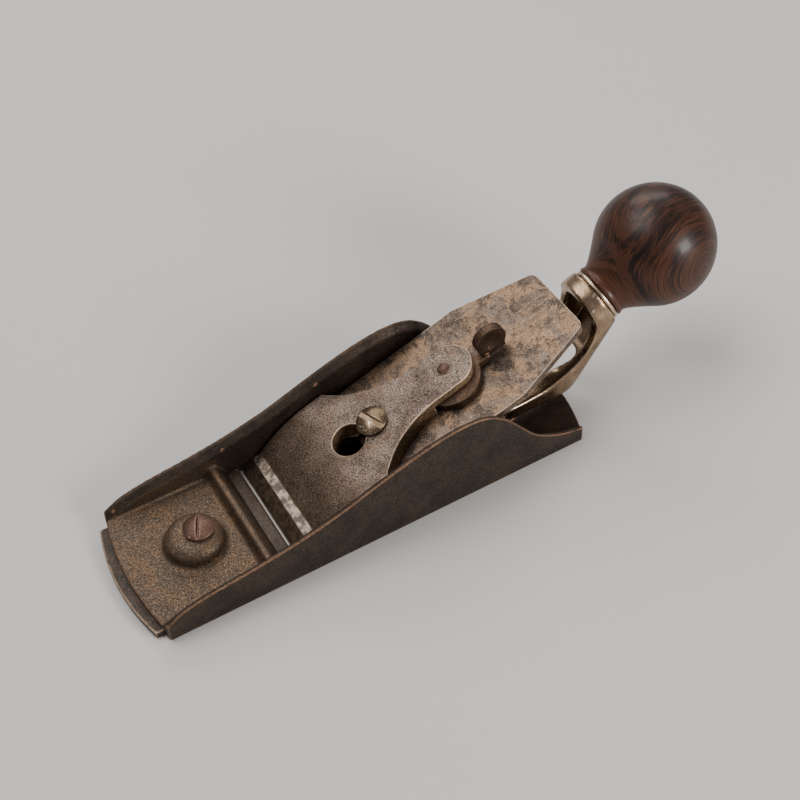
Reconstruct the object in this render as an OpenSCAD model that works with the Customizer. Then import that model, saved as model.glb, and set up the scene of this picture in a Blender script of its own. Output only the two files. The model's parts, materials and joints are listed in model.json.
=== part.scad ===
// Block plane with an adjustable mouth, a lever cap with a cam lever and a ball tail handle.
// Origin: centre of the sole. +X is the toe, +Z is up. Lengths are millimetres.

/* [Casting] */
// Length of the casting between its side corners
body_len = 152.4; // [140:0.2:165]
// Width over the cheeks
body_w = 51.6; // [48:0.2:56]
// Cheek wall at the bed
wall = 3.1; // [2.4:0.1:3.6]
// Width left along the top edge of each cheek
edge_w = 1.3; // [1:0.1:2]
// Floor behind the mouth
floor_t = 3.4; // [2.8:0.1:4]
// Top of the toe floor
toe_top = 5.2; // [4.6:0.1:6]
// Bow of the toe beyond its corners
toe_bow = 3.2; // [0.5:0.1:6]
// Bow of the heel beyond its corners
heel_bow = 5.1; // [0.5:0.1:8]
// Height of the cross rib ahead of the throat
rib_top = 9; // [7:0.1:11]
// Base diameter of the dome around the mouth screw
dome_d = 22; // [18:0.5:26]
// Top of that dome
dome_top = 11.4; // [9.5:0.1:13]

/* [Mouth plate] */
// Thickness of the sliding mouth plate
plate_t = 3; // [2.5:0.1:3.5]
// Front of the mouth plate at its middle
plate_front = 83; // [80:0.1:86]
// Rear edge of the mouth plate, in front of the cutting edge
plate_rear = 29.75; // [29.45:0.05:32]
// Head diameter of the mouth screw
mouth_head_d = 10.2; // [8:0.1:12]

/* [Cutter] */
// Width of the cutter
cutter_w = 44.45; // [40:0.05:46]
// Thickness of the cutter
cutter_t = 2.6; // [2:0.1:3.2]
// Bedding angle
bed_angle = 20; // [12:0.5:25]
// Where the bed meets the sole
mouth_x = 29.33; // [25:0.01:35]
// Rear end of the cutter along the bed
cutter_end = 118.8; // [100:0.2:130]
// Where the cutter starts to narrow
taper_from = 89.6; // [80:0.2:100]
// Width of the cutter's rear end
cutter_end_w = 28; // [20:0.5:40]

/* [Lever cap] */
// Width of the lever cap
cap_w = 43.6; // [38:0.1:44]
// Top of the lever cap above the bed
cap_h = 9.2; // [7:0.1:11]
// Front edge of the lever cap along the bed
cap_front = 9.6; // [8:0.1:14]
// Half width of the cap's neck
neck_r = 8.1; // [6:0.1:10]
// Radius of the hollow flanks between the cap's shoulders and its neck
flank_r = 36.5; // [30:0.5:45]
// Cap screw position along the bed
screw_s = 45.5; // [42:0.1:49]
// Head diameter of the cap screw
cap_head_d = 10.6; // [9:0.1:11]
// Cam rivet position along the bed
rivet_s = 74.2; // [70:0.1:78]
// Radius of the cam disc
cam_r = 10.7; // [9:0.1:12]
// Offset of the cam disc from its rivet
cam_offset = 1.6; // [0.5:0.1:2]

/* [Adjuster] */
// Diameter of the adjusting stud
stud_d = 5; // [4:0.1:6]
// Diameter of the knurled wheel
wheel_d = 19; // [16:0.5:20]
// Reach from the lever's pin to the stud
lever_reach = 22; // [20:0.5:24]
// Height of the lever's tooth above its pin
tooth_rise = 9; // [7:0.1:10]

/* [Tail handle] */
// Diameter of the ball knob
knob_d = 41.4; // [38:0.2:50]
// Tilt of the knob's axis above level
knob_tilt = 27; // [15:0.5:40]
// Width of the handle bracket
bracket_w = 21.4; // [18:0.2:24]
// Width of the gap between the bracket's legs
bracket_gap = 9.4; // [9.2:0.1:11]

/* [Hidden] */
$fn = 64;
big = 300;
run = 0.05;                       // running clearance on a radius
half_w = body_w / 2;
in_w = half_w - wall;             // half the space between the cheeks
plate_hw = in_w + 0.1;            // half width of the mouth plate
corner_x = body_len / 2;
tan_bed = tan(bed_angle);
post_x = bed_x(screw_s, 0);
plate_screw_x = 53.4;             // mouth screw as set
mouth_back = 28.2;                // rear wall of the mouth
mouth_slide = 1.7;                // travel of the mouth plate, forward from closed
tooth_s = 62;                     // lever tooth along the bed
pin_x = bed_x(tooth_s, -tooth_rise);
pin_z = bed_z(tooth_s, -tooth_rise);
stud_x = pin_x - lever_reach;
fork_z = 21.6;                    // middle of the lever's fork
foot_z = 6.8;                     // underside of the bracket's feet
foot_x = -48;                     // bracket screws
foot_y = (bracket_gap + bracket_w) / 4;
knob_x = -96.84;                  // middle of the bracket's pad
knob_z = 36.28;
pad_t = 3.1;
collar_t = 1.6;
ball_t = 26;                      // ball centre above the pad
cap_hw = cap_w / 2;
cap_foot = cutter_t + 0.08;       // cap's underside above the bed
cam_top = 5.9;                    // top of the cam disc above the bed

// Point at distance s along the bed and h above it, in the plane of symmetry
function bed_x(s, h) = mouth_x - s * cos(bed_angle) + h * sin(bed_angle);
function bed_z(s, h) = s * sin(bed_angle) + h * cos(bed_angle);

// Smooth curve through the points p, n steps between neighbours
function slope(p, i) =
    i == 0 ? p[1] - p[0] :
    i == len(p) - 1 ? p[i] - p[i - 1] : (p[i + 1] - p[i - 1]) / 2;
function blend(a, b, u, v, t) =
    (2 * t * t * t - 3 * t * t + 1) * a + (t * t * t - 2 * t * t + t) * u
    + (3 * t * t - 2 * t * t * t) * b + (t * t * t - t * t) * v;
function curve(p, n) = concat(
    [for (i = [0 : len(p) - 2], k = [0 : n - 1])
        blend(p[i], p[i + 1], slope(p, i), slope(p, i + 1), k / n)],
    [p[len(p) - 1]]);
function arc(cx, cy, r, a0, a1, n) =
    [for (i = [0 : n]) let (a = a0 + (a1 - a0) * i / n) [cx + r * cos(a), cy + r * sin(a)]];

// Top edge of the cheeks, toe to heel
cheek_line = curve([
    [76.2, 7.3], [70, 10.9], [60, 13.2], [47, 14.9], [32, 17.5], [17, 21.4], [2, 27],
    [-10, 31.2], [-20, 34], [-30, 35.4], [-38, 34.3], [-44.5, 29.9], [-50.5, 22.8],
    [-57, 14.7], [-64, 10], [-71, 7.3], [-84, 4.6]
], 4);

module both_sides() {
    children();
    mirror([0, 1, 0]) children();
}

module on_bed() {
    translate([mouth_x, 0, 0]) rotate([0, bed_angle, 0]) children();
}

// Prism across the plane from a side outline in X and Z
module across(w) {
    rotate([90, 0, 0]) linear_extrude(w, center = true) children();
}

module slotted_head(d, h, crown, slot_w, slot_d, turn) {
    r = d / 2;
    ball = (r * r + crown * crown) / (2 * crown);
    difference() {
        rotate_extrude() polygon(concat(
            [[0, 0], [r, 0], [r, h - crown]],
            [for (i = [1 : 8]) let (x = r * (1 - i / 8))
                [x, h - ball + sqrt(ball * ball - x * x)]]));
        rotate([0, 0, turn]) translate([0, 0, h - slot_d + 2])
            cube([d + 2, slot_w, 4], center = true);
    }
}

module knob_axis() {
    translate([knob_x, 0, knob_z]) rotate([0, knob_tilt - 90, 0]) children();
}

module plan_outline() {
    rt = (half_w * half_w + toe_bow * toe_bow) / (2 * toe_bow);
    rh = (half_w * half_w + heel_bow * heel_bow) / (2 * heel_bow);
    intersection() {
        square([big, body_w], center = true);
        union() {
            translate([corner_x + toe_bow - rt, 0]) circle(rt, $fn = 180);
            translate([-big, -big / 2]) square([big, big]);
        }
        union() {
            translate([-corner_x - heel_bow + rh, 0]) circle(rh, $fn = 180);
            translate([0, -big / 2]) square([big, big]);
        }
    }
}

module cheeks() {
    a = 55;
    shift = -(half_w - edge_w) * sin(a);
    difference() {
        across(body_w) polygon(concat(cheek_line, [[-84, 0], [80, 0], [80, 7.3]]));
        cube([big, 2 * in_w, big], center = true);
        both_sides() intersection() {
            translate([-big / 2, 0, 0]) cube([big, half_w - edge_w, 60]);
            rotate([a, 0, 0]) translate([0, 100, 0]) rotate([90, 0, 0])
                linear_extrude(200) polygon(concat(
                    [for (p = cheek_line) [p[0], p[1] * cos(a) + shift]],
                    [[-84, 60], [80, 60], [80, 7.3 * cos(a) + shift]]));
        }
    }
}

// Cross rib with its fillet to the toe floor and the slope down to the throat
module rib() {
    low = plate_t + run;
    across(2 * in_w + 1) polygon(concat(
        [[34, low], [50, low], [50, toe_top - 0.4]],
        arc(42.6, toe_top + 1.9, 1.9, 270, 205, 6),
        arc(38.7, rib_top - 1.5, 1.5, 10, 150, 10)));
}

module dome() {
    r = dome_d / 2;
    rotate_extrude() polygon(concat(
        [[0, toe_top - 1.5], [r + 0.6, toe_top - 1.5]],
        [[r + 0.6, toe_top]],
        arc(r + 0.6, toe_top + 2, 2, 260, 205, 6),
        arc(5.3, dome_top - 4.4, 4.4, 20, 90, 10),
        [[0, dome_top]]));
}

// Floor behind the mouth and the supports under the cutter, cut off along the bed
module bed_blocks() {
    wide = 2 * in_w + 1;
    on_bed() {
        translate([-53, -wide / 2, -big]) cube([14.5, wide, big]);
        translate([-75, -wide / 2, -4.4]) cube([5, wide, 4.4]);
    }
    across(wide) polygon([[mouth_back, 0], [mouth_back, (mouth_x - mouth_back) * tan_bed],
        [11.5, (mouth_x - 11.5) * tan_bed], [9.5, floor_t], [-90, floor_t], [-90, 0]]);
}

module body() {
    color([0.2, 0.17, 0.14]) difference() {
        intersection() {
            linear_extrude(60) plan_outline();
            union() {
                cheeks();
                translate([44, -in_w - 0.5, plate_t + run])
                    cube([60, 2 * in_w + 1, toe_top - plate_t - run]);
                rib();
                translate([55.5, 0, 0]) dome();
                bed_blocks();
                both_sides() {
                    translate([pin_x - 4.2, 3, 1]) cube([13, 3.2, pin_z + 2.6]);
                    translate([foot_x - 11, foot_y - 3, 1]) cube([18, 6, foot_z - 1]);
                }
                translate([stud_x, 0, 1]) cylinder(h = 6.5, d = 9);
            }
        }
        translate([mouth_back, -plate_hw - 0.2, -1])
            cube([80, 2 * plate_hw + 0.4, plate_t + run + 1]);
        // slot in the dome for the screw, with room below for the plate's boss
        translate([plate_screw_x + mouth_slide / 2, 0, 0]) {
            slot_cut(2.7, mouth_slide, 20);
            slot_cut(4.2, mouth_slide, 8.2);
        }
        on_bed() {
            translate([-screw_s, 0, -14]) cylinder(h = 40, r = 2.6 + run);
            // room for the adjusting lever under the rear support
            translate([-76, -3.6, -6]) cube([7, 7.2, 7]);
        }
        translate([pin_x, 0, pin_z]) rotate([90, 0, 0]) cylinder(h = 30, r = 1.5, center = true);
        translate([stud_x, 0, 1.2]) cylinder(h = 20, d = stud_d);
        both_sides() translate([foot_x, foot_y, 1.2]) cylinder(h = 20, r = 1.5);
    }
}

module slot_cut(r, travel, top) {
    translate([-travel / 2, -r, 0]) cube([travel, 2 * r, top]);
    for (x = [-travel / 2, travel / 2]) translate([x, 0, 0]) cylinder(h = top, r = r);
}

module mouth_plate() {
    bow = 3.4;
    rp = (plate_hw * plate_hw + bow * bow) / (2 * bow);
    color([0.27, 0.22, 0.17]) difference() {
        union() {
            linear_extrude(plate_t) intersection() {
                translate([plate_rear, -plate_hw]) square([80, 2 * plate_hw]);
                translate([plate_front - rp, 0]) circle(rp, $fn = 180);
            }
            translate([plate_screw_x, 0, 0]) cylinder(h = 7.8, r = 4);
        }
        translate([plate_screw_x, 0, 1]) cylinder(h = 20, r = 2.5 + run);
        // relief behind the mouth, so the throat opens upward
        translate([plate_rear, 0, plate_t]) rotate([0, 40, 0]) cube([1.2, 60, 0.8], center = true);
    }
}

module mouth_screw() {
    color([0.36, 0.24, 0.19]) translate([plate_screw_x, 0, 0]) {
        translate([0, 0, 1.5]) cylinder(h = dome_top - 1, r = 2.5);
        translate([0, 0, dome_top]) slotted_head(mouth_head_d, 3, 1.8, 1.1, 1.5, 63);
    }
}

module cutter() {
    hw = cutter_w / 2;
    ew = cutter_end_w / 2;
    edge = 0.65;                  // cutting edge along the bed
    heel = 6.2;                   // top of the bevel along the bed
    low = 0.02;
    color([0.5, 0.44, 0.36]) on_bed() difference() {
        translate([0, 0, low]) linear_extrude(cutter_t - low) polygon(concat(
            [[-edge, -hw], [-edge, hw], [-taper_from, hw]],
            arc(-cutter_end + 3, ew - 2.1, 3, 106, 180, 8),
            arc(-cutter_end + 3, 2.1 - ew, 3, 180, 254, 8),
            [[-taper_from, -hw]]));
        across(60) polygon([[1, low - 0.001], [-edge, low - 0.001], [-heel, cutter_t],
            [-heel, 5], [1, 5]]);
        // keyhole for the cap screw
        translate([-34, 0, -1]) cylinder(h = 6, r = 6.1);
        translate([-50, -4, -1]) cube([16, 8, 6]);
        translate([-50, 0, -1]) cylinder(h = 6, r = 4);
        // adjusting grooves across the underside
        for (i = [-1 : 5]) translate([-tooth_s - 2.6 * i - 0.85, -10, -1]) cube([1.7, 20, 1.9]);
    }
}

module cap_outline() {
    end_s = 76;
    difference() {
        translate([-66, -cap_hw]) square([66 - cap_front, 2 * cap_hw]);
        both_sides() translate([-66, neck_r + flank_r]) circle(flank_r, $fn = 120);
    }
    translate([-end_s, -neck_r]) square([end_s - 66, 2 * neck_r]);
    translate([-end_s, 0]) circle(neck_r);
}

module lever_cap() {
    nose = 3.7;                   // top of the front edge above the bed
    crown = 31;                   // where the top levels out
    color([0.42, 0.38, 0.33]) on_bed() difference() {
        translate([0, 0, cap_foot]) linear_extrude(cap_h - cap_foot) cap_outline();
        across(60) polygon(concat(
            [[1, nose - 1], [1, 20], [-crown, 20]],
            [for (i = [0 : 10]) let (u = i / 10)
                [-crown + (crown - cap_front) * u, cap_h - (cap_h - nose) * u * u]]));
        // keyhole for the cap screw
        translate([-36, 0, 0]) cylinder(h = 20, r = 5.8);
        translate([-screw_s, -3.2, 0]) cube([screw_s - 36, 6.4, 20]);
        translate([-screw_s, 0, 0]) cylinder(h = 20, r = 3.2);
        // hollow underside, the walls left standing along the outline
        difference() {
            translate([0, 0, cap_foot - 1]) linear_extrude(cap_h - cap_foot - 1.7)
                offset_outline();
            translate([-36, 0, 0]) cylinder(h = 20, r = 8.2);
            translate([-screw_s, 0, 0]) cylinder(h = 20, r = 6.2);
        }
        translate([-24, -15, 0]) cube([8, 30, 5.2]);
        // room for the cam disc to turn
        translate([-rivet_s, 0, 0]) cylinder(h = cam_top + 0.15, r = cam_r + cam_offset + 0.4);
        translate([-rivet_s, 0, 0]) cylinder(h = 20, r = 1.6);
    }
}

module offset_outline() {
    t = 2.6;
    difference() {
        translate([-60, -cap_hw + t]) square([60 - 24, 2 * (cap_hw - t)]);
        both_sides() {
            translate([-66, neck_r + flank_r]) circle(flank_r + t, $fn = 120);
            translate([-42, cap_hw]) rotate(45) square([6, 6], center = true);
        }
    }
}

module cam_rivet() {
    color([0.38, 0.27, 0.22]) on_bed() translate([-rivet_s, 0, 0]) {
        translate([0, 0, cap_foot + 0.3]) cylinder(h = cap_h - cap_foot, r = 1.6);
        translate([0, 0, cap_h]) rotate_extrude() polygon(concat(
            [[0, 0]], arc(0, -1.9, 3, 40, 90, 8)));
    }
}

module cam_lever() {
    tab_s = 91.8;
    tab_h = 9.9;
    color([0.3, 0.2, 0.13]) on_bed() difference() {
        union() {
            translate([-rivet_s, cam_offset, cap_foot]) cylinder(h = cam_top - cap_foot, r = cam_r);
            translate([-89, 0.3, cap_foot + 0.5]) cube([6.5, 4, cam_top - cap_foot - 0.5]);
            translate([-tab_s, 3.3, tab_h]) rotate([90, 0, 0]) cylinder(h = 3.1, r = 5.6);
            translate([-tab_s - 4, 0.3, 4.2]) cube([8, 3, 5]);
        }
        translate([-tab_s - 10, -5, -5]) cube([20, 12, cap_foot + 5.5]);
        translate([-rivet_s, 0, 0]) cylinder(h = 20, r = 1.6 + run);
        // thumb hollow in each side of the tab
        for (y = [-10.7, 14.3]) translate([-tab_s, y, tab_h + 0.2]) sphere(11.6, $fn = 96);
        // ramp on the underside that presses the cutter down as the lever turns
        translate([-rivet_s, cam_offset, cap_foot]) rotate([0, 0, 45]) rotate([0, 4, 0])
            translate([2, -20, -2]) cube([30, 40, 2]);
    }
}

module cap_screw() {
    color([0.4, 0.35, 0.27]) on_bed() translate([-screw_s, 0, 0]) {
        translate([0, 0, -11]) cylinder(h = cap_h + 11.5, r = 2.6);
        translate([0, 0, cap_h + 0.04]) slotted_head(cap_head_d, 2.9, 1.7, 1.9, 1.5, 110);
    }
}

module adjusting_lever() {
    color([0.33, 0.29, 0.25]) difference() {
        union() {
            translate([pin_x, 0, pin_z]) {
                rotate([90, 0, 0]) cylinder(h = 5, r = 3.3, center = true);
                rotate([0, bed_angle, 0]) across(4.9) polygon([[-2.4, 0], [2.4, 0],
                    [0.9, tooth_rise - 0.6], [-0.9, tooth_rise - 0.6]]);
                across(4.8) polygon([[-1, -2.6], [1.6, 2.6], [-13, 9.3], [-16, 9.3],
                    [-16, 8.2], [-13.5, 8.2]]);
                rotate([0, bed_angle, 0]) translate([-0.5, -8, tooth_rise - 1.8])
                    cube([1, 16, 2.5]);
            }
            translate([stud_x - 4.5, -6.2, fork_z - 0.8]) cube([12, 12.4, 1.6]);
        }
        translate([stud_x + 1.2, 0, 0]) cylinder(h = 40, r = 3.5);
        translate([stud_x - 8.8, -3.5, 0]) cube([10, 7, 40]);
        translate([pin_x, 0, pin_z]) rotate([90, 0, 0])
            cylinder(h = 30, r = 1.5 + run, center = true);
    }
}

module lever_pin() {
    color([0.6, 0.58, 0.55]) translate([pin_x, 0, pin_z]) rotate([90, 0, 0])
        cylinder(h = 12.6, r = 1.5, center = true);
}

module adjusting_stud() {
    color([0.55, 0.52, 0.48]) translate([stud_x, 0, 1.2]) {
        cylinder(h = 26.3, d = stud_d);
        translate([0, 0, 26.3]) cylinder(h = 0.8, d1 = stud_d, d2 = stud_d - 1.6);
    }
}

// Grooved sleeve of the adjusting nut
module nut_hub() {
    bore = stud_d / 2 + run;
    color([0.66, 0.52, 0.26]) translate([stud_x, 0, 0]) rotate_extrude() polygon([
        [bore, 15], [4.6, 15], [4.6, fork_z - 1.65], [3.2, fork_z - 1.65],
        [3.2, fork_z + 1.65], [4.6, fork_z + 1.65], [4.6, fork_z + 2.9],
        [4.1, fork_z + 3.4], [bore, fork_z + 3.4]]);
}

// Knurled wheel of the adjusting nut
module nut_wheel() {
    teeth = 40;
    r = wheel_d / 2;
    color([0.66, 0.52, 0.26]) translate([stud_x, 0, 15.8]) difference() {
        linear_extrude(3.6) polygon([for (i = [0 : 2 * teeth - 1]) let (a = 180 * i / teeth)
            (i % 2 == 0 ? r : r - 0.5) * [cos(a), sin(a)]]);
        translate([0, 0, -1]) cylinder(h = 10, r = 4.6 + run);
    }
}

// Point in the plane of symmetry, x up the knob's pad and z out from it
function on_pad(x, z) = [knob_x + x * sin(knob_tilt) - z * cos(knob_tilt),
    knob_z + x * cos(knob_tilt) + z * sin(knob_tilt)];

// Outline of the bracket seen from the side
module bracket_side() {
    polygon(concat(
        [[-41.5, foot_z]],
        curve([[-68, foot_z], [-77, 7], [-85.6, 9.6], [-91.8, 13.4], [-97, 18.4],
            [-100.4, 23], [-102.2, 26.9]], 4),
        [on_pad(0, 0), on_pad(bracket_w / 2, 0), on_pad(bracket_w / 2, -5.6)],
        curve([[-90.3, 33.5], [-89.6, 28.4], [-87.8, 24.2], [-84.9, 20.8],
            [-80.9, 17.9], [-76, 15.4], [-70.5, 13.4], [-64, 12.6]], 4),
        [[-57, 12.2], [-54.5, 10], [-41.5, 10]]));
}

// Plan of the bracket on its pad: round at the top, then straight down
module bracket_plan(r) {
    circle(r);
    translate([-80, -r]) square([80, 2 * r]);
}

module handle_bracket() {
    deg = 54;                     // run of the gap's end above level
    half = bracket_w / 2;
    rim = 4;                      // edge left round the hollow
    back_r = half + 0.6;          // the back's roundness across the arm
    lean = 33.7;                  // the back's lean from upright
    back_x = -103.58;             // a point on the line of the back
    back_z = 29.01;
    color([0.45, 0.4, 0.3]) difference() {
        intersection() {
            across(bracket_w) bracket_side();
            knob_axis() translate([0, 0, -90]) linear_extrude(100) bracket_plan(half);
            // the back is rounded below the pad
            union() {
                translate([-76, -20, 0]) cube([50, 40, 40]);
                knob_axis() translate([0, 0, -4]) cylinder(h = 6, r = half);
                translate([back_x + back_r * cos(lean), 0, back_z + back_r * sin(lean)])
                    rotate([0, 180 - lean, 0]) translate([0, 0, -14])
                        cylinder(h = 60, r = back_r);
            }
        }
        knob_axis() linear_extrude(20) square(40, center = true);
        // gap between the legs, round at its upper end
        translate([-85, -bracket_gap / 2, 0]) cube([60, bracket_gap, 40]);
        translate([-85, 0, 14]) rotate([0, deg, 0])
            cylinder(h = 30, r = bracket_gap / 2, center = true);
        // hollow in the front, open to the gap
        intersection() {
            across(bracket_w) polygon([on_pad(12, -12), on_pad(12, -pad_t), on_pad(-6.5, -pad_t),
                [-97.5, 25.6], [-95, 21.9], [-91.4, 18.6], [-87.5, 16.4], [-72, 15.6],
                [-66, 46]]);
            knob_axis() translate([0, 0, -70]) linear_extrude(80) bracket_plan(half - rim);
        }
        knob_axis() translate([0, 0, -20]) cylinder(h = 40, r = 2.5 + run);
        knob_axis() translate([0, 0, -pad_t - 3]) cylinder(h = 3, r = 5.4);
        both_sides() translate([foot_x, foot_y, 0]) cylinder(h = 30, r = 1.7);
    }
}

module bracket_screws() {
    color([0.5, 0.46, 0.4]) both_sides() translate([foot_x, foot_y, 0]) {
        translate([0, 0, 1.4]) cylinder(h = 9, r = 1.5);
        translate([0, 0, 10]) slotted_head(5.6, 1.9, 0.9, 0.8, 0.9, 30);
    }
}

module knob_collar() {
    rim = collar_t / 2 - 0.02;
    color([0.45, 0.41, 0.33]) knob_axis() rotate_extrude() polygon(concat(
        [[2.6, 0.02]], arc(9.2, collar_t / 2, rim, 270, 450, 8),
        [[2.6, collar_t - 0.02]]));
}

module knob() {
    r = knob_d / 2;
    color([0.27, 0.1, 0.06]) knob_axis() difference() {
        rotate_extrude() polygon(concat(
            [[0, collar_t], [9.3, collar_t]],
            arc(9.3, collar_t + 0.8, 0.8, 270, 430, 8),
            curve([[9.3, collar_t + 1.8], [9.6, collar_t + 2.5], [11.1, collar_t + 5],
                [13.8, collar_t + 8.6], [r * cos(36), ball_t - r * sin(36)]], 4),
            arc(0, ball_t, r, -33, 90, 36)));
        translate([0, 0, -1]) cylinder(h = 28, r = 2.5);
    }
}

module knob_screw() {
    color([0.5, 0.46, 0.4]) knob_axis() {
        translate([0, 0, -pad_t - 1]) cylinder(h = pad_t + 27, r = 2.5);
        rotate([180, 0, 0]) translate([0, 0, pad_t + 0.02]) slotted_head(9, 2.6, 1.2, 1.2, 1.2, 0);
    }
}

body();
mouth_plate();
mouth_screw();
cutter();
lever_cap();
cam_rivet();
cam_lever();
cap_screw();
adjusting_lever();
lever_pin();
adjusting_stud();
nut_hub();
nut_wheel();
handle_bracket();
bracket_screws();
knob_collar();
knob();
knob_screw();
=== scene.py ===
import json
import math

import bmesh
import bpy
from mathutils import Matrix, Quaternion, Vector


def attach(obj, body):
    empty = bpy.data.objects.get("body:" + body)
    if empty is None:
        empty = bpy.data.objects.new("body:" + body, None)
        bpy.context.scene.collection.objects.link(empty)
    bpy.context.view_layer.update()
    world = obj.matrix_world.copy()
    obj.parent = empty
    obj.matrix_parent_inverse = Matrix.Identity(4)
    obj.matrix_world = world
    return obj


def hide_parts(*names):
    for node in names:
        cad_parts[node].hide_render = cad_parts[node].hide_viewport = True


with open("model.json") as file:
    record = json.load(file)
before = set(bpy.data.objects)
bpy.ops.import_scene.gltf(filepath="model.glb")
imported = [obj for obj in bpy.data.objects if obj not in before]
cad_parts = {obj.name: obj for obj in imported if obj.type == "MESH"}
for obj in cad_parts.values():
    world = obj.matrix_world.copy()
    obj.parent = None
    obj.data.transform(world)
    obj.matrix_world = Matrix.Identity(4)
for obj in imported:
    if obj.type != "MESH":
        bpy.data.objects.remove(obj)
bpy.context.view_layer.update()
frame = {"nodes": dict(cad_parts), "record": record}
nodes = frame["nodes"]
MM = 0.001
BED = math.radians(20)              # the cutter's slope
BED_FRONT = (29.33, 0.0, 0.0)       # where the bed's plane meets the sole, mm
KNOB_TILT = math.radians(27)
KNOB_FOOT = (-96.84, 0.0, 36.28)    # the knob's axis at the bracket's pad, mm
BALL = (-120.0, 0.0, 48.1)          # middle of the knob's ball, mm
END_GRAIN = (-0.25, 0.965, 0.08)    # from there toward the heart of the growth rings


# ---------------------------------------------------------------- camera, light, floor

def toward(azimuth, elevation):
    """Unit vector from the part toward a camera or lamp; azimuth 0 stands on -Y."""
    a, e = math.radians(azimuth), math.radians(elevation)
    return Vector((math.sin(a) * math.cos(e), -math.cos(a) * math.cos(e), math.sin(e)))


def aimed(direction, roll):
    """Rotation that looks along direction, turned clockwise by roll degrees."""
    return direction.to_track_quat("-Z", "Y") @ Quaternion((0, 0, 1), -math.radians(roll))


def camera(target, azimuth, elevation, distance, roll, lens):
    back = toward(azimuth, elevation)
    cam = bpy.data.objects.new("camera", bpy.data.cameras.new("camera"))
    bpy.context.scene.collection.objects.link(cam)
    cam.data.lens = lens
    cam.data.sensor_width = 36
    cam.data.clip_start = 0.01
    cam.rotation_mode = "QUATERNION"
    cam.location = target + back * distance
    cam.rotation_quaternion = aimed(-back, roll)
    bpy.context.scene.camera = cam


def softbox(name, azimuth, elevation, distance, size, power, tint):
    back = toward(azimuth, elevation)
    data = bpy.data.lights.new(name, "AREA")
    data.shape = "RECTANGLE"
    data.size, data.size_y = size
    data.energy = power
    data.color = tint
    ob = bpy.data.objects.new(name, data)
    bpy.context.scene.collection.objects.link(ob)
    ob.rotation_mode = "QUATERNION"
    ob.location = back * distance
    ob.rotation_quaternion = aimed(-back, 0)


camera(target=Vector((-0.02648, -0.01075, 0.015)), azimuth=152.14, elevation=48.42,
       distance=0.46826, roll=3.01, lens=62.7)
softbox("top", 40, 68, 1.1, (0.9, 0.7), 9.0, (1.0, 0.97, 0.94))
softbox("window", 210, 25, 1.0, (0.34, 0.28), 7.5, (1.0, 0.98, 0.95))
softbox("rear", 330, 38, 1.2, (0.9, 0.4), 5.0, (1.0, 0.98, 0.95))

world = bpy.data.worlds.new("studio")
bpy.context.scene.world = world
world.use_nodes = True
world.node_tree.nodes["Background"].inputs["Color"].default_value = (0.9, 0.92, 0.95, 1)
world.node_tree.nodes["Background"].inputs["Strength"].default_value = 0.28


# ---------------------------------------------------------------- node helpers

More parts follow.
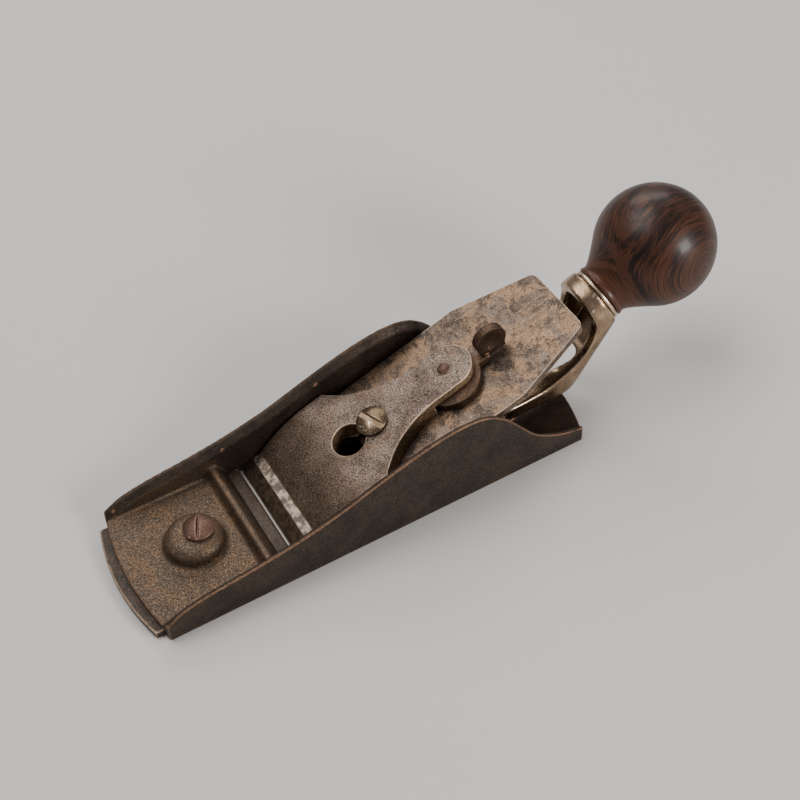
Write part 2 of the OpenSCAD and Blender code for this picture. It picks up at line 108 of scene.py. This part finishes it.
class Shade:
    """A Principled material with short ways to add procedural nodes in millimetres."""

    def __init__(self, name, metallic, **uniform):
        self.mat = bpy.data.materials.new(name)
        self.mat.use_nodes = True
        self.tree = self.mat.node_tree
        self.tree.nodes.clear()
        out = self.tree.nodes.new("ShaderNodeOutputMaterial")
        self.bsdf = self.tree.nodes.new("ShaderNodeBsdfPrincipled")
        self.tree.links.new(self.bsdf.outputs[0], out.inputs[0])
        self.bsdf.inputs["Metallic"].default_value = metallic
        for key, value in uniform.items():
            self.bsdf.inputs[key.replace("_", " ")].default_value = value
        coord = self.tree.nodes.new("ShaderNodeTexCoord")
        self.mm = self.vec("SCALE", coord.outputs["Object"], scale=1 / MM)
        self.normal = coord.outputs["Normal"]

    def put(self, socket, value):
        if isinstance(value, bpy.types.NodeSocket):
            self.tree.links.new(value, socket)
        elif isinstance(value, tuple) and len(value) == 3 and socket.type == "RGBA":
            socket.default_value = (*value, 1)
        else:
            socket.default_value = value

    def vec(self, op, a, b=None, scale=None):
        n = self.tree.nodes.new("ShaderNodeVectorMath")
        n.operation = op
        self.put(n.inputs[0], a)
        if b is not None:
            self.put(n.inputs[1], b)
        if scale is not None:
            self.put(n.inputs["Scale"], scale)
        return n.outputs["Value"] if op in ("LENGTH", "DOT_PRODUCT") else n.outputs[0]

    def math(self, op, a, b=0.0, clamp=False):
        n = self.tree.nodes.new("ShaderNodeMath")
        n.operation = op
        n.use_clamp = clamp
        self.put(n.inputs[0], a)
        self.put(n.inputs[1], b)
        return n.outputs[0]

    def noise(self, scale, detail=4.0, rough=0.6, distort=0.0, at=None, stretch=None):
        co = self.mm if at is None else at
        if stretch:
            co = self.vec("MULTIPLY", co, stretch)
        n = self.tree.nodes.new("ShaderNodeTexNoise")
        n.inputs["Scale"].default_value = scale
        n.inputs["Detail"].default_value = detail
        n.inputs["Roughness"].default_value = rough
        n.inputs["Distortion"].default_value = distort
        self.put(n.inputs["Vector"], co)
        return n.outputs["Fac"]

    def band(self, value, low, high):
        """0 below low, 1 above high, smooth between; swapped limits turn it round."""
        n = self.tree.nodes.new("ShaderNodeMapRange")
        n.interpolation_type = "SMOOTHSTEP"
        self.put(n.inputs["Value"], value)
        if low > high:
            n.inputs["From Min"].default_value = high
            n.inputs["From Max"].default_value = low
            n.inputs["To Min"].default_value = 1
            n.inputs["To Max"].default_value = 0
        else:
            n.inputs["From Min"].default_value = low
            n.inputs["From Max"].default_value = high
        return n.outputs[0]

    def mix(self, fac, a, b):
        n = self.tree.nodes.new("ShaderNodeMix")
        n.data_type = "RGBA"
        self.put(n.inputs["Factor"], fac)
        self.put(n.inputs[6], a)
        self.put(n.inputs[7], b)
        return n.outputs[2]

    def scaled(self, color, factor):
        return self.vec("SCALE", color, scale=factor)

    def joined(self, x, y, z):
        n = self.tree.nodes.new("ShaderNodeCombineXYZ")
        for socket, value in zip(n.inputs, (x, y, z)):
            self.put(socket, value)
        return n.outputs[0]

    def lerp(self, fac, a, b):
        n = self.tree.nodes.new("ShaderNodeMix")
        self.put(n.inputs["Factor"], fac)
        self.put(n.inputs[2], a)
        self.put(n.inputs[3], b)
        return n.outputs[0]

    def xyz(self, co=None):
        n = self.tree.nodes.new("ShaderNodeSeparateXYZ")
        self.put(n.inputs[0], self.mm if co is None else co)
        return n.outputs

    def turned(self, centre, angle):
        """Coordinates in mm from centre, turned about Y by angle."""
        n = self.tree.nodes.new("ShaderNodeVectorRotate")
        n.rotation_type = "Y_AXIS"
        self.put(n.inputs["Vector"], self.mm)
        self.put(n.inputs["Center"], centre)
        n.inputs["Angle"].default_value = angle
        return n.outputs[0]

    def edges(self, radius, low, high):
        """1 along corners rounder than radius mm, 0 on flat faces."""
        n = self.tree.nodes.new("ShaderNodeBevel")
        n.samples = 6
        n.inputs["Radius"].default_value = radius * MM
        g = self.tree.nodes.new("ShaderNodeNewGeometry")
        dot = self.vec("DOT_PRODUCT", n.outputs[0], g.outputs["Normal"])
        return self.band(dot, high, low)

    def crests(self, low, high):
        """Convex places of a dense mesh."""
        g = self.tree.nodes.new("ShaderNodeNewGeometry")
        return self.band(g.outputs["Pointiness"], low, high)

    def bump(self, height, strength, distance):
        n = self.tree.nodes.new("ShaderNodeBump")
        n.inputs["Strength"].default_value = strength
        n.inputs["Distance"].default_value = distance * MM
        self.put(n.inputs["Height"], height)
        self.put(self.bsdf.inputs["Normal"], n.outputs[0])

    def done(self, color, rough):
        self.put(self.bsdf.inputs["Base Color"], color)
        self.put(self.bsdf.inputs["Roughness"], rough)
        return self.mat


def aged_metal(name, tones, edge, rust=0.3, metallic=0.8, rough=(0.35, 0.6), grain=1.0,
               wear_and_highlight=(0.512, 0.545), speck=0.6, relief=0.3, extra=None):
    """Old metal: blotches of two tones, rust, fine speckle with painted glints, pits, and
    worn edges lightened partly by a painted highlight.
    """
    s = Shade(name, metallic)
    dark, mid, red = tones
    blot = s.noise(0.09, 5, 0.62, 0.6)
    color = s.mix(s.band(blot, 0.36, 0.64), dark, mid)
    patch = s.math("MULTIPLY", s.band(s.noise(0.21, 6, 0.7, 1.0), 0.48, 0.66), rust)
    color = s.mix(patch, color, red)
    if extra:
        color = extra(s, color)
    fine = s.noise(1.5 * grain, 6, 0.75)
    tiny_glint_grain = s.noise(2.6 * grain, 4, 0.7)
    color = s.scaled(color, s.lerp(s.band(fine, 0.38, 0.66), 1 + speck * 0.35,
                                   1 - speck * 0.85))
    # painted glints: the tiny spots are brightened to stand in for specular sparkle
    color = s.scaled(color, s.lerp(s.band(tiny_glint_grain, 0.54, 0.66), 1.0, 1 + speck * 2.2))
    # worn edges: convex crests take the light edge colour, partly real wear and partly a
    # painted highlight along the edges
    worn_and_highlit = s.math("MULTIPLY", s.crests(*wear_and_highlight), s.band(s.noise(0.35, 5, 0.7), 0.3, 0.5))
    color = s.mix(worn_and_highlit, color, edge)
    pits = s.band(s.noise(1.7 * grain, 5, 0.75), 0.34, 0.55)
    s.bump(s.math("ADD", pits, tiny_glint_grain), relief, 0.12)
    base = s.lerp(s.band(fine, 0.35, 0.7), rough[0], rough[1])
    return s.done(color, s.lerp(s.math("MULTIPLY", worn_and_highlit, 0.8), base, 0.3))


# ---------------------------------------------------------------- materials

def toe_rust(s, color):
    """The toe floor, between the cheeks and ahead of the mouth, is rusty bronze."""
    x, y, z = s.xyz()
    toe = s.math("MULTIPLY", s.band(x, 34, 38), s.band(z, 15, 11))
    toe = s.math("MULTIPLY", toe, s.band(s.math("ABSOLUTE", y), 23.2, 22.4))
    tone = s.mix(s.band(s.noise(0.16, 6, 0.7, 0.8), 0.42, 0.6), (0.105, 0.075, 0.053),
                 (0.15, 0.092, 0.054))
    return s.mix(s.math("MULTIPLY", toe, 0.9), color, tone)


def cap_tone(s, color):
    """The cap is brown at its front, and its steep sides carry a painted brassy sheen."""
    front = s.band(s.xyz()[0], 0.0, 9.0)
    color = s.mix(s.math("MULTIPLY", front, 0.65), color, (0.1, 0.068, 0.046))
    # painted sheen: faces steeper than about 45 degrees are lifted to a brassy colour because
    # of how they face
    painted_flank_sheen = s.band(s.xyz(s.normal)[2], 0.75, 0.45)
    return s.mix(s.math("MULTIPLY", painted_flank_sheen, 0.8), color, (0.36, 0.235, 0.125))


casting = aged_metal("casting_patina", ((0.028, 0.02, 0.0145), (0.052, 0.036, 0.025),
                                        (0.08, 0.045, 0.026)), (0.26, 0.14, 0.08),
                     rust=0.3, metallic=0.7, rough=(0.34, 0.56), relief=0.55, speck=0.6,
                     wear_and_highlight=(0.52, 0.555), extra=toe_rust)
plate_mat = aged_metal("plate_patina", ((0.032, 0.022, 0.016), (0.06, 0.041, 0.028),
                                        (0.075, 0.041, 0.023)), (0.4, 0.27, 0.18), rust=0.4,
                       metallic=0.5)
cap_mat = aged_metal("cap_patina", ((0.13, 0.097, 0.076), (0.26, 0.2, 0.16),
                                    (0.2, 0.115, 0.068)), (0.75, 0.55, 0.4), rust=0.55,
                     metallic=0.85, rough=(0.3, 0.5), grain=1.4, speck=1.1,
                     relief=0.6, extra=cap_tone)
red_steel = aged_metal("brown_steel", ((0.07, 0.036, 0.026), (0.13, 0.07, 0.05),
                                       (0.16, 0.07, 0.035)), (0.4, 0.25, 0.17), rust=0.4,
                       grain=1.6, metallic=0.6)
lever_mat = aged_metal("cam_patina", ((0.045, 0.03, 0.022), (0.09, 0.055, 0.036),
                                      (0.17, 0.085, 0.042)), (0.4, 0.22, 0.12), rust=0.4,
                       grain=1.4, wear_and_highlight=(0.53, 0.57))
nickel = aged_metal("old_nickel", ((0.2, 0.135, 0.085), (0.42, 0.3, 0.2),
                                   (0.22, 0.125, 0.07)), (0.8, 0.64, 0.48), rust=0.3,
                    metallic=1.0, rough=(0.2, 0.36), grain=1.2, speck=0.25, relief=0.1)
steel = aged_metal("worn_steel", ((0.13, 0.09, 0.055), (0.26, 0.19, 0.12),
                                  (0.2, 0.115, 0.06)), (0.75, 0.6, 0.42), rust=0.35,
                   metallic=1.0, rough=(0.25, 0.45), grain=1.5, relief=0.15)
brass = aged_metal("old_brass", ((0.25, 0.17, 0.07), (0.42, 0.3, 0.13), (0.2, 0.11, 0.05)),
                   (0.7, 0.56, 0.3), rust=0.2, metallic=1.0, rough=(0.25, 0.45),
                   relief=0.15)


def cutter_stains():
    """Grey steel with tan and blue-black stains; along is the way up the bed in mm."""
    s = Shade("stained_cutter", 0.8)
    along = s.math("SUBTRACT", BED_FRONT[0], s.xyz(s.turned(BED_FRONT, -BED))[0])
    grey = s.mix(s.band(s.noise(0.12, 6, 0.65, 0.8), 0.38, 0.62), (0.07, 0.05, 0.038),
                 (0.16, 0.12, 0.095))
    tan = s.mix(s.noise(0.5, 5, 0.6), (0.15, 0.09, 0.052), (0.32, 0.205, 0.125))
    color = s.mix(s.band(s.noise(0.062, 7, 0.78, 1.2), 0.45, 0.54), grey, tan)
    blue = s.band(s.noise(0.14, 9, 0.8, 0.4), 0.515, 0.55)
    color = s.mix(s.math("MULTIPLY", blue, 0.85), color, (0.03, 0.025, 0.022))
    speck = s.band(s.noise(1.5, 6, 0.8), 0.51, 0.58)
    color = s.mix(s.math("MULTIPLY", speck, 0.8), color, (0.06, 0.04, 0.028))
    light = s.band(s.noise(2.3, 4, 0.7), 0.56, 0.66)
    color = s.mix(s.math("MULTIPLY", light, 0.8), color, (0.42, 0.31, 0.22))
    front = s.band(along, 11.5, 9.5)
    patchy = s.noise(0.42, 5, 0.7, stretch=(0.8, 1.0, 0.8))
    bare = s.mix(s.band(patchy, 0.42, 0.56), (0.44, 0.35, 0.28), (0.11, 0.085, 0.07))
    color = s.mix(s.math("MULTIPLY", front, 0.95), color, bare)
    bevel = s.band(along, 6.6, 6.1)
    dull = s.mix(s.band(s.noise(0.5, 6, 0.75), 0.4, 0.62), (0.2, 0.145, 0.1),
                 (0.09, 0.062, 0.043))
    color = s.mix(bevel, color, dull)
    color = s.mix(s.edges(0.5, 0.74, 0.985), color, (0.6, 0.5, 0.4))
    s.bump(s.math("ADD", speck, s.math("MULTIPLY", blue, 0.4)), 0.25, -0.08)
    rough = s.lerp(s.noise(0.3, 5, 0.7), 0.28, 0.5)
    return s.done(color, s.lerp(front, rough, 0.3))


def rosewood():
    """Growth rings lie round an axis across the ball; the dark streaks follow them."""
    s = Shade("rosewood", 0.0, Coat_Weight=0.1, Coat_Roughness=0.16,
              Specular_IOR_Level=0.25)
    ball = s.vec("SUBTRACT", s.mm, BALL)
    end_grain = Vector(END_GRAIN).normalized()
    axial = s.vec("DOT_PRODUCT", ball, tuple(end_grain))
    square = s.math("SUBTRACT", s.vec("DOT_PRODUCT", ball, ball),
                    s.math("MULTIPLY", axial, axial))
    radial = s.math("SQRT", s.math("MAXIMUM", square, 0.0))
    wobble = s.math("MULTIPLY", s.noise(0.03, 2, 0.3), 8.0)
    ring = s.math("ADD", radial, wobble)
    across = s.vec("DOT_PRODUCT", ball, (-0.8, 0.0, 0.6))
    at = s.joined(ring, s.math("MULTIPLY", axial, 0.07), s.math("MULTIPLY", across, 0.05))
    broad = s.noise(0.3, 4, 0.6, at=at)
    fine = s.noise(1.5, 5, 0.75, at=at)
    hair = s.noise(3.5, 3, 0.6, at=at)
    color = s.mix(s.band(broad, 0.38, 0.6), (0.016, 0.0065, 0.0045), (0.066, 0.022, 0.011))
    color = s.mix(s.math("MULTIPLY", s.band(fine, 0.49, 0.58), 0.8), color,
                  (0.003, 0.0018, 0.0016))
    color = s.mix(s.math("MULTIPLY", s.band(hair, 0.52, 0.66), 0.5), color,
                  (0.13, 0.046, 0.022))
    color = s.mix(s.math("MULTIPLY", s.band(s.noise(0.09, 3, 0.5), 0.5, 0.7), 0.35), color,
                  (0.07, 0.026, 0.013))
    neck = s.band(s.xyz(s.turned(KNOB_FOOT, -KNOB_TILT))[0], -108.0, -101.0)
    color = s.mix(s.math("MULTIPLY", neck, 0.5), color, (0.1, 0.036, 0.018))
    dents = s.band(s.noise(0.36, 3, 0.6), 0.66, 0.72)
    height = s.math("SUBTRACT", s.math("MULTIPLY", hair, 0.3), dents)
    s.bump(height, 0.25, 0.15)
    return s.done(color, s.lerp(s.noise(0.25, 4, 0.6), 0.34, 0.5))


cutter_mat = cutter_stains()
wood_mat = rosewood()


# ---------------------------------------------------------------- pieces

WELD = 0.0005                       # mm

def body_of(node):
    """Name of the rigid body that a CAD node belongs to."""
    for body, members in frame["record"]["behaviour"]["bodies"].items():
        if node in members:
            return body
    raise KeyError(node)


def coat(node, material):
    """Give a CAD node its material."""
    data = nodes[node].data
    data.materials.clear()
    data.materials.append(material)


def softened(node, material, voxel, passes):
    """A skin over a CAD node with its corners rounded as a casting's or a worn part's are."""
    mesh = nodes[node].data.copy()
    mesh.transform(Matrix.Scale(1 / MM, 4))
    bm = bmesh.new()
    bm.from_mesh(mesh)
    bmesh.ops.remove_doubles(bm, verts=bm.verts, dist=WELD)
    bm.to_mesh(mesh)
    bm.free()
    work = bpy.data.objects.new(node + "_work", mesh)
    bpy.context.scene.collection.objects.link(work)
    rm = work.modifiers.new("remesh", "REMESH")
    rm.mode = "VOXEL"
    rm.voxel_size = voxel
    rm.use_smooth_shade = True
    sm = work.modifiers.new("smooth", "SMOOTH")
    sm.factor = 0.5
    sm.iterations = passes
    graph = bpy.context.evaluated_depsgraph_get()
    skin = bpy.data.meshes.new_from_object(work.evaluated_get(graph))
    bpy.data.objects.remove(work)
    skin.transform(Matrix.Scale(MM, 4))
    skin.materials.clear()
    skin.materials.append(material)
    skin.polygons.foreach_set("use_smooth", [True] * len(skin.polygons))
    piece = bpy.data.objects.new(node + "_skin", skin)
    bpy.context.scene.collection.objects.link(piece)
    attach(piece, body_of(node))
    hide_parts(node)


softened("body", casting, 0.45, 3)
softened("lever_cap", cap_mat, 0.3, 3)
softened("mouth_plate", plate_mat, 0.4, 2)
softened("handle_bracket", nickel, 0.35, 45)
softened("cam_lever", lever_mat, 0.2, 5)
softened("knob", wood_mat, 0.6, 3)
softened("mouth_screw", red_steel, 0.18, 2)
softened("cap_screw", steel, 0.12, 3)
softened("cam_rivet", red_steel, 0.15, 2)
softened("adjusting_lever", cap_mat, 0.25, 2)
for name, material in (
    ("cutter", cutter_mat), ("lever_pin", steel), ("adjusting_stud", steel),
    ("nut_hub", brass), ("nut_wheel", brass), ("bracket_screws", steel),
    ("knob_collar", nickel), ("knob_screw", steel),
):
    coat(name, material)

floor_mesh = bpy.data.meshes.new("floor")
bm = bmesh.new()
bmesh.ops.create_grid(bm, x_segments=1, y_segments=1, size=3.0)
bm.to_mesh(floor_mesh)
bm.free()
floor = bpy.data.objects.new("floor", floor_mesh)
bpy.context.scene.collection.objects.link(floor)
floor.location.z = -0.1 * MM
paint = Shade("pale_floor", 0.0)
floor_mesh.materials.append(paint.done((0.62, 0.6, 0.58), 0.75))
